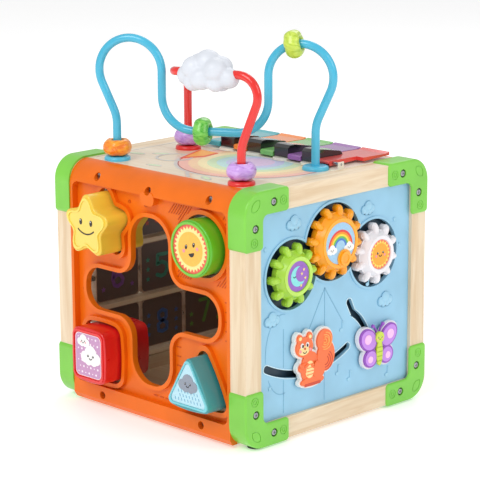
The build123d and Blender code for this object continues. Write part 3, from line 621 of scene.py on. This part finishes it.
def slot_edges(pic):
    """Pale raised strokes round both slider slots: a painted highlight where light catches the slot edges.
    """
    for (y, z, r), start, stop in (((-42.5, 195.5, 129.5), 242.2, 297.6), ((-4.0, 68.0, 56.0), -10.0, 56.5)):
        for off in (-4.5, 4.5):
            pic.arc(y, z, r + off, start, stop, 0.9, -0.1, 0.6, SLOT_EDGE_HIGHLIGHT, steps=30)
        ends = (start, stop) if r > 60 else (start,)
        for end in ends:
            a = math.radians(end)
            turn = end - 180 if end == start else end
            cap = (y + r * math.cos(a), z + r * math.sin(a))
            pic.arc(*cap, 4.5, turn, turn + 180, 0.9, -0.1, 0.6, SLOT_EDGE_HIGHLIGHT)
    pic.stroke([(29.6, 117.8), (24.0, 129.7)], 0.9, -0.1, 0.6, SLOT_EDGE_HIGHLIGHT)
    pic.stroke([(22.3, 113.6), (16.0, 125.7)], 0.9, -0.1, 0.6, SLOT_EDGE_HIGHLIGHT)
    pic.arc(20.0, 127.7, 4.5, 27, 207, 0.9, -0.1, 0.6, SLOT_EDGE_HIGHLIGHT)


def screw_wells():
    """Painted shade: dark discs over the sunk bracket screws on the two railed sides, for the shade inside
    the deep screw holes.
    """
    for side, x in (("gear", BRACKET_FACE), ("tile", -BRACKET_FACE)):
        pic = Picture(side, (x, 0.0, 0.0))
        for across, ups in ((97.0, (14.5, 254.0)), (123.0, (38.5, 230.0))):
            for v in ups:
                for u in (-across, across):
                    pic.disc(u, v, 4.45, 0.02, 0.12, SCREW_HOLE_SHADE, seg=28)
        pic.done("screw_wells_" + side, "cube", "green_plastic")


def panel_lines():
    """Lines pressed into the blue board, drawn as darker raised strokes that paint the shade inside the
    grooves: a pine, a round tree, notes and little marks.
    """
    pic = Picture("gear", (BOARD_FACE, 0.0, 0.0))

    def round_tree(start, stop, steps=14):
        """Part of the round tree's outline; the squirrel's slot lies in the gap."""
        angles = [math.radians(start + (stop - start) * i / steps) for i in range(steps + 1)]
        return [(-80 + 24 * math.cos(a), 92 + 42 * math.sin(a)) for a in angles]

    for line in ([(-44, 104), (-17, 150), (10, 110)], [(-17, 150), (-17, 110)], [(-17, 60), (-17, 30)],
                 round_tree(80, 186), round_tree(214, 280), [(-78, 118), (-78, 78)], [(-78, 64), (-78, 30)]):
        pic.stroke(line, 0.9, -0.1, 0.35, BLUE_GROOVE_SHADE)
    for y, z in ((8, 100), (48, 142), (20, 44), (80, 36), (2, 54)):
        pic.disc(y, z, 2.4, -0.1, 1.0, BLUE_PUFF, squash=0.8, seg=20)
        pic.stroke([(y + 1.9, z + 0.5), (y + 1.9, z + 9), (y + 5, z + 7.5)], 0.9, -0.1, 0.9, BLUE_PUFF)
    for y, z in ((95, 90), (98, 176), (-104, 205), (-98, 60), (90, 205)):
        pic.star(y, z, 3.0, 1.3, 5, -0.1, 0.8, BLUE_PUFF)
    for y, z, k in ((-62.7, 225.8, 0.95), (48.5, 223.6, 0.9), (76.9, 120.3, 1.0), (-94.5, 131.1, 0.95)):
        for du, dv, r in ((-7, -1.4, 4.6), (0, 1.8, 6.2), (6.6, -1.4, 4.4), (-2.4, -3.6, 4.2),
                          (3, -3.8, 4.0)):
            # A darker ring just wider than each raised puff: painted shade along its edge.
            pic.disc(y + du * k, z + dv * k, (r + 1.1) * k, -0.1, 0.4, BLUE_GROOVE_SHADE, seg=28)
            pic.dome(y + du * k, z + dv * k, r * k, r * k, 1.85, 0, BLUE_PUFF)
    slot_edges(pic)
    pic.done("blue_board_lines", "cube", "panel_blue")


# ---- orange panel reliefs ----------------------------------------------------------------------------

def clear_of_openings(x, z, margin):
    """Whether a point of the orange panel is away from its holes, window and border."""
    if math.hypot(x - STAR_AT[0], z - STAR_AT[1]) < 40 + margin:
        return False
    if math.hypot(x - ROUND_AT[0], z - ROUND_AT[1]) < 37 + margin:
        return False
    if abs(x - SQUARE_AT[0]) < 35 + margin and abs(z - SQUARE_AT[1]) < 38 + margin:
        return False
    if abs(x - TRIANGLE_AT[0]) < 38 + margin and 28 - margin < z < 102 + margin:
        return False
    if abs(x - 0.5) < 35 + margin and 35 - margin < z < 227 + margin:
        return False
    if abs(x - 0.5) < 107 + margin and 102 - margin < z < 160 + margin:
        return False
    return abs(x) < 115 - margin and 26 + margin < z < 242 - margin


def panel_reliefs(name):
    """Raised texture fields on the orange panel: rings, dashes, slanting lines and arcs."""
    draw = random.Random(7)
    relief = plastic(name + "_relief", (0.6, 0.09, 0.002), 0.4, 0.05, shine=0.3)
    pic = Picture("front", (0.0, PANEL_FACE, 0.0))
    for _ in range(260):
        x, z, r = draw.uniform(-114, 114), draw.uniform(26, 242), draw.uniform(1.2, 3.2)
        if clear_of_openings(x, z, r + 0.6) and x < 0 and z > 100:
            pic.arc(x, z, r, 0, 360, 0.9, -0.1, 0.8, relief, steps=16)
    for row in range(20, 244, 5):
        for col in range(0, 116, 9):
            x = col + (4.5 if (row // 5) % 2 else 0)
            if row < 160 and clear_of_openings(x, row, 0.5) and clear_of_openings(x + 5, row, 0.5):
                pic.stroke([(x, row), (x + 5.5, row)], 1.1, -0.1, 0.8, relief)
    for k in range(-10, 60):
        x, z = 6.0 + 3.6 * k, 160.0
        line = [(x + 4 * i, z + 5 * i) for i in range(18)]
        for a, b in zip(line, line[1:]):
            if clear_of_openings(*a, 1.5) and clear_of_openings(*b, 1.5) and a[0] > 0:
                pic.stroke([a, b], 1.0, -0.1, 0.8, relief)
    for k in range(5):
        r = 20 + 6 * k
        for i in range(40):
            a0, a1 = math.radians(i * 9), math.radians(i * 9 + 9)
            a = (-112 + r * math.cos(a0), 96 + r * math.sin(a0))
            b = (-112 + r * math.cos(a1), 96 + r * math.sin(a1))
            if clear_of_openings(*a, 1.2) and clear_of_openings(*b, 1.2) and a[1] < 100:
                pic.stroke([a, b], 1.1, -0.1, 0.8, relief)
    pic.done(name + "_texture", "cube", "orange_plastic")


# ---- top board prints -----------------------------------------------------------------------------------

def board_prints():
    """The rainbow disc, the red wedge and the leaves printed on the top board."""
    pic = Picture("top", (0.0, 0.0, 265.0))
    tones = ((0.9, 0.5, 0.4), (0.93, 0.63, 0.38), (0.95, 0.78, 0.44), (0.64, 0.78, 0.48), (0.52, 0.75, 0.75),
             (0.58, 0.6, 0.85), (0.76, 0.56, 0.8))
    inks = [ink("pastel_%d" % i, tone) for i, tone in enumerate(tones)]
    rim, grey = ink("maroon_line", (0.4, 0.06, 0.05)), ink("grey_print", (0.6, 0.58, 0.54))
    hot, warm = ink("wedge_red", (0.85, 0.1, 0.03)), ink("wedge_orange", (1.0, 0.42, 0.05))
    pic.disc(30, -8, 86, -0.1, 0.15, grey, seg=96)
    pic.disc(30, -8, 82.0, -0.1, 0.2, rim, seg=96)
    pic.disc(30, -8, 80.8, -0.1, 0.24, inks[0], seg=96)
    for i in range(1, 7):
        pic.disc(30, -8, 80.8 - 10 * i, -0.1, 0.24 + 0.04 * i, inks[i], seg=72)
    pic.poly([(-64, 2), (-44, -48), (-30, -24), (-34, 0)], -0.1, 0.62, hot)
    pic.poly([(-60, 0), (-44, -40), (-34, -22), (-37, 0)], -0.1, 0.7, warm)
    pic.arc(-52, -48, 19, 0, 360, 3.0, -0.1, 0.5, grey, steps=40)
    pic.stroke([(17, -95), (33, -108)], 4.0, -0.1, 0.5, grey)
    for x, y, turn in ((-78, -43, 40), (-36, -92, 10), (52, -101, -20), (-100, 20, 70), (-98, -60, 20)):
        pic.disc(x, y, 10, -0.1, 0.42, grey, squash=0.42, turn=turn, seg=28)
        pic.disc(x, y, 8.2, -0.1, 0.5, inks[3], squash=0.3, turn=turn, seg=28)
    pic.stroke([(-115, -104), (-115, 104)], 1.2, -0.1, 0.3, grey)
    pic.done("board_prints", "cube", "board_wood")


# ---- number tiles -----------------------------------------------------------------------------------------

# Each digit as strokes, in millimetres about its middle.
SEGMENTS = {"1": [[(0, 10), (0, -10)], [(-3.5, 7), (0, 10)]],
            "2": [[(-6, 5), (-5, 8.5), (0, 10), (5, 8.5), (6, 4.5), (3, 0), (-6, -10), (6.5, -10)]],
            "3": [[(-6, 8), (0, 10), (6, 6), (3.5, 1), (0, 0), (4, -1), (6.5, -6), (0, -10), (-6, -8)]],
            "4": [[(4, -10), (4, 10), (-6.5, -3.5), (7, -3.5)]],
            "5": [[(6, 10), (-5, 10), (-5.5, 1.5), (0, 3), (5.5, 0.5), (6.5, -4), (3.5, -9), (-1, -10),
                   (-6, -8)]],
            "6": [[(5, 9), (0, 9), (-4.5, 4), (-6, -3), (-4, -8.5), (0, -10), (5, -8), (6, -4), (3, 0),
                   (-1, 0.5), (-5.5, -2)]],
            "7": [[(-6, 10), (6, 10), (-1.5, -10)]],
            "8": [[(0, 0), (-4.5, 2.5), (-4.5, 8), (0, 10), (4.5, 8), (4.5, 2.5), (0, 0), (-5.5, -3),
                   (-5, -8.5), (0, -10), (5, -8.5), (5.5, -3), (0, 0)]],
            "9": [[(5.5, 2), (0, -1), (-5, 1), (-6, 5.5), (-3, 9.5), (2, 10), (5.5, 7), (5.5, 2), (3, -10)]]}
TILE_INKS = ((0.55, 0.2, 0.06), (0.85, 0.12, 0.08), (0.95, 0.5, 0.04), (0.4, 0.15, 0.55), (0.1, 0.5, 0.35),
             (0.7, 0.1, 0.4), (0.1, 0.45, 0.6), (0.1, 0.22, 0.6), (0.2, 0.5, 0.1))


def tile_pictures():
    """Digits on both faces of every tile; from outside the rows read 1 2 3, 4 5 6, 7 8 9."""
    order = {1: "3", 2: "2", 3: "1", 4: "6", 5: "5", 6: "4", 7: "9", 8: "8", 9: "7"}
    for number in range(1, 10):
        low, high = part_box("number_tile_%d" % number)
        mid = (low + high) / 2 / MM
        colour = TILE_INKS[number - 1]
        for side, x in (("gear", high.x / MM), ("tile", low.x / MM)):
            inner = side == "gear"
            # On the inner faces, seen through the window, the digits are darkened and the plates near black:
            # painted shade of the tiles' shadowed inside.
            digit = ink("digit_%d_%s" % (number, side), shade(colour, 0.6) if inner else colour)
            plate = (0.13, 0.09, 0.075) if inner else (0.84, 0.74, 0.6)
            pic = Picture(side, (x, mid.y, mid.z))
            wide, tall = (30.0, 27.0) if inner else (27.5, 24.5)
            board = ink("tile_plate_%d_%s" % (number, side), plate)
            pic.poly(rounded_box(0, 0, wide, tall, 5), -0.1, 0.3, board)
            for line in SEGMENTS[order[number]]:
                pic.stroke([(u * 1.25, v * 1.25 - 1) for u, v in line], 4.4, 0.1, 0.35, digit)
            for u in (-21, 21):
                for i in range(int(order[number]) % 3 + 1):
                    pic.star(u, -14 + 11 * i, 3.4, 1.6, 5, 0.1, 0.3, digit)
            pic.done("number_tile_%d_print_%s" % (number, side), "number_tile_%d" % number, "tile_wood")


# ---- beads, cloud, keys ----------------------------------------------------------------------------------

def wavy_bead(name, body, centre, way, mat, lobes=6):
    """A thick lobed bead, spun from its section and waved round its rim."""
    bm = bmesh.new()
    section = [(5.7, -7.4), (8.5, -8.9), (12.5, -7.6), (15.4, -3.6), (15.9, 1.2), (14.2, 5.6), (10.5, 8.6),
               (7.0, 8.2), (5.7, 6.4)]
    verts = [bm.verts.new((r, 0, z)) for r, z in section]
    edges = [bm.edges.new((verts[i], verts[(i + 1) % len(verts)])) for i in range(len(verts))]
    bmesh.ops.spin(bm, geom=verts + edges, cent=(0, 0, 0), axis=(0, 0, 1), angle=2 * math.pi, steps=48,
                   use_merge=True, use_duplicate=False)
    for v in bm.verts:
        angle, r = math.atan2(v.co.y, v.co.x), math.hypot(v.co.x, v.co.y)
        out = max(0.0, (r - 6.0) / 10.0)
        k = 1 - 0.07 * out * (0.5 - 0.5 * math.cos(lobes * angle + v.co.z * 0.12))
        v.co.x *= k
        v.co.y *= k
        v.co.z += 0.75 * out * math.sin(lobes * angle)
    bmesh.ops.recalc_face_normals(bm, faces=bm.faces[:])
    turn = Vector(way).to_track_quat("Z", "Y").to_matrix().to_4x4()
    bmesh.ops.transform(bm, matrix=Matrix.Translation(Vector(centre) * MM) @ turn @ Matrix.Scale(MM, 4),
                        verts=bm.verts[:])
    finish_piece(name + "_wavy", bm, [mat], body, (name,), sub=1)


BLUE_A, BLUE_B = Vector((-88, -97)), Vector((101, 9))
BLUE_WAY = (BLUE_B - BLUE_A).normalized()
BLUE_SPAN = (BLUE_B - BLUE_A).length
HUMP_R = 34.5


def all_beads():
    lilac = marbled("lilac_swirl", (0.66, 0.42, 0.85), (0.45, 0.2, 0.66))
    wavy_bead("bead_orange", "bead_orange", (-88, -97, 278.8), (0, 0, 1),
              marbled("orange_swirl", (1.0, 0.42, 0.02), (0.85, 0.2, 0.01)))
    wavy_bead("bead_lilac_front", "bead_lilac_front", (100, -98, 279), (0, 0, 1), lilac)
    wavy_bead("bead_lilac_back", "bead_lilac_back", (-79, -2, 279), (0, 0, 1), lilac)
    at = BLUE_A + BLUE_WAY * 95.0
    wavy_bead("bead_green", "bead_green", (at.x, at.y, 299.5), (BLUE_WAY.x, BLUE_WAY.y, 0),
              marbled("green_swirl", (0.22, 0.66, 0.1), (0.08, 0.45, 0.04)))
    angle = math.radians(102.0)
    at = BLUE_A + BLUE_WAY * (BLUE_SPAN - 16 + HUMP_R * math.cos(angle))
    way = (-math.sin(angle) * BLUE_WAY.x, -math.sin(angle) * BLUE_WAY.y, math.cos(angle))
    wavy_bead("bead_lime", "bead_lime", (at.x, at.y, 361 + HUMP_R * math.sin(angle)), way,
              marbled("lime_swirl", (0.62, 0.78, 0.1), (0.42, 0.58, 0.04)))


def cloud_bead():
    """Rounded puffs joined into one soft skin."""
    near_bend, far_bend = Vector((129.8, -91.7, 376)), Vector((20.3, -115.0, 373.4))
    run = (far_bend - near_bend).normalized()
    centre = near_bend + run * 69.5
    out = run.cross(Vector((0, 0, 1))).normalized()
    up = out.cross(run)
    bm = bmesh.new()
    puffs = ((-25, -4, 0, 10.5), (-12, 5, 5, 12.5), (-12, 4, -6, 12.5), (0, 10, 0, 14), (3, -4, 8, 12.5),
             (3, -4, -8, 12.5), (13, 6, 5, 13), (13, 5, -6, 12.5), (25, -3, 0, 11), (-13, -8, 4, 10.5),
             (-12, -8, -5, 10), (16, -8, 3, 11), (15, -8, -5, 10.5))
    for a, b, c, r in puffs:
        place = Matrix.Translation(centre + run * a + up * b + out * c)
        bmesh.ops.create_icosphere(bm, subdivisions=3, radius=r, matrix=place)
    bmesh.ops.scale(bm, vec=(MM, MM, MM), verts=bm.verts[:])
    piece = finish_piece("cloud_puffs", bm, [plastic("cloud_white", (0.68, 0.71, 0.77), 0.45, 0.1)],
                         "cloud_bead", ("cloud_bead",))
    mod = piece.modifiers.new("one_skin", "REMESH")
    mod.mode = "VOXEL"
    mod.voxel_size = 0.0012
    mod.use_smooth_shade = True
    soft = piece.modifiers.new("soft", "SMOOTH")
    soft.factor = 0.6
    soft.iterations = 6


def rounded_copy(node, name, mats, body, bevel):
    """A copy of a moulded piece with its edges rounded over."""
    bm = bmesh.new()
    bm.from_mesh(nodes[node].data)
    bmesh.ops.remove_doubles(bm, verts=bm.verts[:], dist=1e-6)
    bmesh.ops.dissolve_limit(bm, angle_limit=math.radians(1), verts=bm.verts[:], edges=bm.edges[:])
    return finish_piece(name, bm, mats, body, (node,), smooth=False, bevel=bevel)


def keys():
    """Rounded colour and black keys, with the pale bases between them."""
    for name, colour in KEY_COLOURS.items():
        mat = plastic("key_colour_" + name, colour, 0.24, 0.5)
        rounded_copy("key_" + name, "key_%s_rounded" % name, [mat], "key_" + name, 0.0011)
    black = plastic("key_jet", (0.008, 0.008, 0.01), 0.14, 0.8, 0.03)
    for i in range(1, 5):
        node = "black_key_%d" % i
        rounded_copy(node, node + "_rounded", [black], node, 0.0026)
    bases = plastic("key_base_cream", (0.86, 0.82, 0.72), 0.3, 0.3)
    pic = Picture("top", (0.0, 0.0, 265.6))
    for i in range(4):
        pic.poly(rounded_box(-41.75 + 40.5 * i, 37, 9.8, 22.5, 7), 0.0, 2.5, bases)
    pic.done("black_key_bases", "cube", "cream_plastic", bevel=0.0008)


# ---- scene ---------------------------------------------------------------------------------------------

CAMERA_AT = (1.5569, -1.5417, 0.6916)
CAMERA_TURN = (45.31, 13.27, -0.28)
CAMERA_LENS = 156.88
WORLD_STRENGTH = 0.64


def camera():
    """Long lens from the corner between the orange and the blue side."""
    yaw, pitch, roll = (math.radians(angle) for angle in CAMERA_TURN)
    back = Vector((math.sin(yaw) * math.cos(pitch), -math.cos(yaw) * math.cos(pitch), math.sin(pitch)))
    level = Vector((math.cos(yaw), math.sin(yaw), 0.0))
    up = back.cross(level)
    right = math.cos(roll) * level + math.sin(roll) * up
    up = back.cross(right)
    data = bpy.data.cameras.new("camera")
    data.lens = CAMERA_LENS
    data.sensor_width = 36.0
    view = bpy.data.objects.new("camera", data)
    bpy.context.scene.collection.objects.link(view)
    turn = Matrix((right, up, back)).transposed().to_4x4()
    view.matrix_world = Matrix.Translation(CAMERA_AT) @ turn
    data.clip_end = 50.0
    bpy.context.scene.camera = view


def light(name, place, target, size, power):
    data = bpy.data.lights.new(name, "AREA")
    data.size = size
    data.energy = power
    lamp = bpy.data.objects.new(name, data)
    lamp.location = place
    lamp.rotation_euler = (Vector(target) - Vector(place)).to_track_quat("-Z", "Y").to_euler()
    bpy.context.scene.collection.objects.link(lamp)


def studio():
    """White floor, white surroundings and three soft lights."""
    bm = bmesh.new()
    bmesh.ops.create_grid(bm, x_segments=2, y_segments=2, size=12.0)
    mesh = bpy.data.meshes.new("floor")
    bm.to_mesh(mesh)
    bm.free()
    floor = bpy.data.objects.new("floor", mesh)
    mesh.materials.append(pale_floor())
    bpy.context.scene.collection.objects.link(floor)
    world = bpy.data.worlds.new("studio")
    bpy.context.scene.world = world
    world.use_nodes = True
    sky = world.node_tree.nodes["Background"]
    sky.inputs["Color"].default_value = (1.0, 1.0, 1.0, 1.0)
    sky.inputs["Strength"].default_value = WORLD_STRENGTH
    light("key_light", (0.3, -2.2, 2.2), (0, 0, 0.15), 1.5, 34)
    light("side_light", (2.4, 0.3, 1.5), (0, 0, 0.15), 1.4, 14)
    light("back_light", (-1.0, 1.8, 2.0), (0, 0, 0.2), 1.3, 12)
    bpy.context.scene.view_settings.view_transform = "Standard"


camera()
studio()
star_face()
round_face()
square_face()
triangle_face()
gear_pictures()
squirrel()
butterfly()
panel_lines()
screw_wells()
panel_reliefs("front_panel")
board_prints()
tile_pictures()
all_beads()
cloud_bead()
keys()
